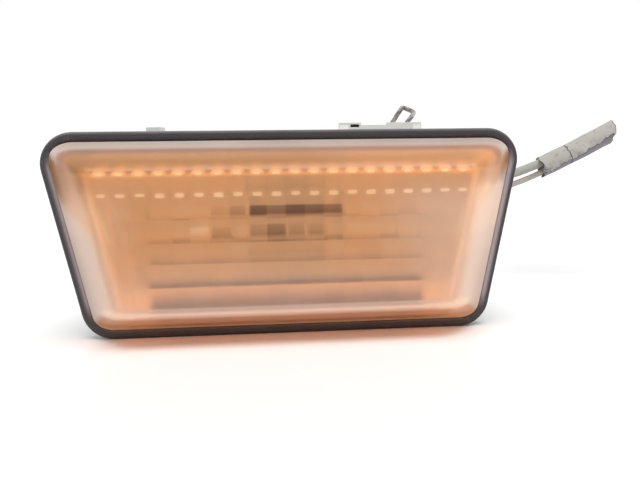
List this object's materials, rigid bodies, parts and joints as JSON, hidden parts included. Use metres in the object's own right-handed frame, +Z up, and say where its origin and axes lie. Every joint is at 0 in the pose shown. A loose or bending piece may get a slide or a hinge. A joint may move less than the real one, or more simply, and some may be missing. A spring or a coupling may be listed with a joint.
{
  "type": "side repeater lamp",
  "caption": "Side repeater lamp for a car's wing: amber trapezoid lens on a white housing, with a rubber panel gasket, a spring clip, a bayonet bulb holder and a cut wire tail.",
  "frame": {"origin": "middle of the gasket's rear face, which lies on the car's panel", "axes": "+X along the lamp, to the right seen from the front; +Y back through the panel; +Z up, towards the lamp's longer edge; the lens faces -Y"},
  "size_m": [0.1096, 0.058, 0.0369],
  "materials": {
    "amber_lens": "moulded amber, hazed by weather",
    "gasket_rubber": "matte, greyed on its upper edge",
    "white_housing": "moulded, satin, lightly soiled",
    "spring_steel": "drawn wire, dull",
    "holder_plastic": "moulded, matte",
    "seal_rubber": "matte",
    "bulb_glass": "clear",
    "filament_metal": "dull grey",
    "lead_metal": "plated",
    "contact_brass": "stamped",
    "feed_insulation": "grimy pale insulation",
    "earth_insulation": "grimy pinkish insulation",
    "sleeve_plastic": "aged grey sleeve, cracked and split"
  },
  "bodies": {
    "root": {"lens": "amber_lens", "gasket": "gasket_rubber", "housing": "white_housing", "spring_clip": "spring_steel", "bulb_holder": "holder_plastic", "holder_seal": "seal_rubber", "bulb_envelope": "bulb_glass", "bulb_filament": "filament_metal", "bulb_lead_left": "lead_metal", "bulb_lead_right": "lead_metal", "contact_feed": "contact_brass", "contact_earth": "contact_brass", "wire_feed": "feed_insulation", "wire_earth": "earth_insulation", "wire_sleeve": "sleeve_plastic"}
  },
  "joints": []
}
